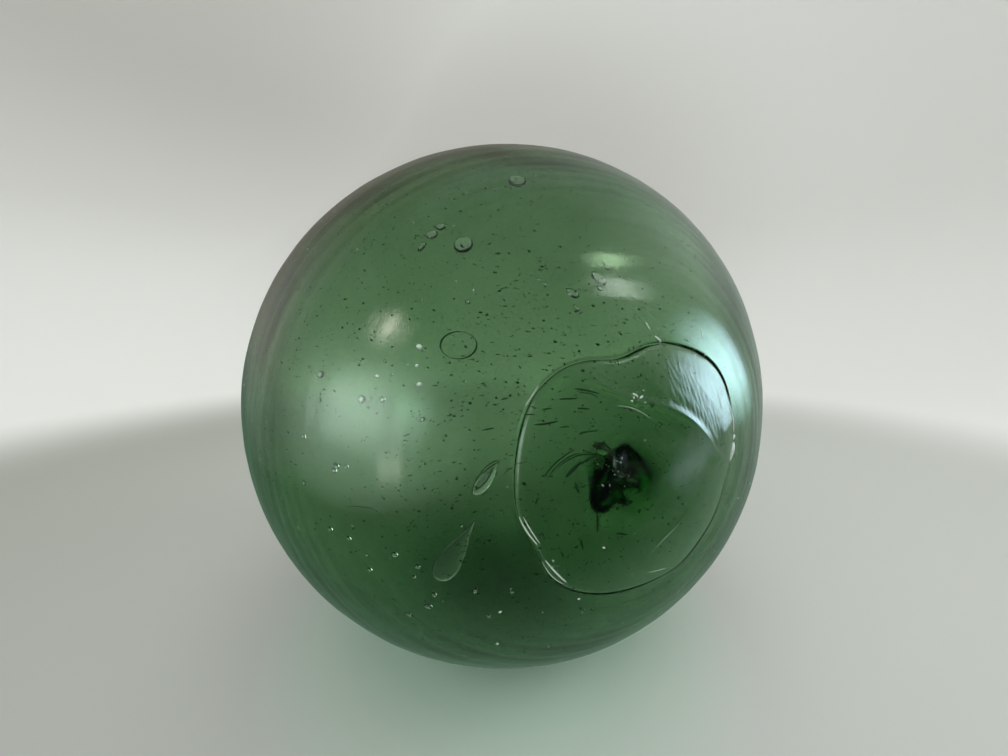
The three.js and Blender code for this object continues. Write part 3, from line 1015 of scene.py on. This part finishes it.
def front_shade_sheet():
    """Painted shade: a dark, faintly glowing sheet on the floor before the ball. Only the glass sees it, so
    its lower half stays deep.
    """
    material, tree = new_material("front_shade_sheet", lights_others=False)
    place = node(tree, "ShaderNodeTexCoord").outputs["Object"]
    forward = node(tree, "ShaderNodeSeparateXYZ", _0=place).outputs["Y"]
    cover = smooth_step(tree, forward, -0.052, -0.11)
    nothing = node(tree, "ShaderNodeBsdfTransparent")
    dark = node(tree, "ShaderNodeEmission", Color=(*linear("#2c3a33"), 1), Strength=1.0)
    mixed = node(tree, "ShaderNodeMixShader", _0=cover, _1=nothing.outputs[0], _2=dark.outputs[0])
    node(tree, "ShaderNodeOutputMaterial", Surface=mixed.outputs[0])
    corners = np.array([(x, y, SHADE_SHEET_HEIGHT) for x, y in SHADE_SHEET_CORNERS]) * MM
    shade_sheet = add_stage_mesh("front_shade_sheet", corners, np.array([(0, 1, 2, 3)]), material)
    show_to_glass_only(shade_sheet)


front_shade_sheet()
soft_card("window_card", 76, 11.5, 150, 50, 26, 8.2, "#ccf0ff", lean=-40)
soft_card("right_glow_card", 74, 38, 160, 84, 62, 0.6, "#f4fff4")
soft_card("high_window_card", 44, 39, 150, 26, 4.5, 11.0, "#f2fff4", lean=-20, inside=False)
soft_card("high_green_card", 47, 48, 150, 22, 4.5, 14.0, "#d7ffcd", lean=-20, inside=False)
soft_card("low_blue_card", 57, -11, 150, 36, 26, 1.4, "#cfe4ee", inside=False)
soft_card("left_room_card", -80, 14, 170, 90, 84, 0.35, "#fff2fa", inside=False)
soft_card("left_window_card", -41, 5.5, 150, 54, 32, 4.2, "#ecfff8")
soft_card("left_glow_card", -43, 1, 155, 76, 68, 1.8, "#ecfff4")
soft_card("left_upper_card", -37, 28, 148, 13, 13, 10.5, "#fffbe8", inside=False)
soft_card("left_lower_card", -31, -8.5, 148, 12, 13, 4.0, "#f4ffe8", inside=False)


# %% Soft lights for floor and backdrop
def soft_light(name, azimuth, elevation, distance, width, height, radiance, casts_shadow=True):
    """Area light that faces the ball. Power is radiance times pi times the area."""
    data = bpy.data.lights.new(name, "AREA")
    data.shape = "RECTANGLE"
    data.size, data.size_y = width * MM, height * MM
    data.energy = radiance * math.pi * data.size * data.size_y
    data.use_shadow = casts_shadow
    lamp = bpy.data.objects.new(name, data)
    bpy.context.collection.objects.link(lamp)
    lamp.location = (facing(azimuth, elevation) * distance + [0, 0, CENTRE_HEIGHT]) * MM
    lamp.rotation_euler = (math.radians(90 - elevation), 0, math.radians(azimuth))
    lamp.visible_glossy = False
    lamp.visible_transmission = False


soft_light("side_daylight", 92, 32, 1300, 560, 520, 3.7)
soft_light("left_daylight", -40, 36, 1100, 700, 600, 2.1)
soft_light("top_daylight", 20, 72, 1200, 1100, 1100, 0.85)
soft_light("room_daylight", 10, 60, 1200, 1100, 1100, 1.3, casts_shadow=False)


BRIGHT_SIDE = (0.25, 0.75, 0.6)  # behind the ball, above it and a little to the right


def daylight_world():
    """Surroundings that pass smoothly from dim in front of the ball to as pale as the wall behind it."""
    world = bpy.data.worlds.new("even_daylight")
    world.use_nodes = True
    tree = world.node_tree
    place = node(tree, "ShaderNodeTexCoord")
    towards = node(tree, "ShaderNodeVectorMath", {"operation": "DOT_PRODUCT"},
                   _0=place.outputs["Generated"], _1=BRIGHT_SIDE).outputs["Value"]
    rise = smooth_step(tree, towards, -0.5, 0.95, To_Min=0.12, To_Max=0.36)
    background = tree.nodes["Background"]
    background.inputs["Color"].default_value = (*linear("#f3f6f4"), 1)
    tree.links.new(rise, background.inputs["Strength"])
    return world


bpy.context.scene.world = daylight_world()
bpy.context.scene.view_settings.view_transform = "Standard"
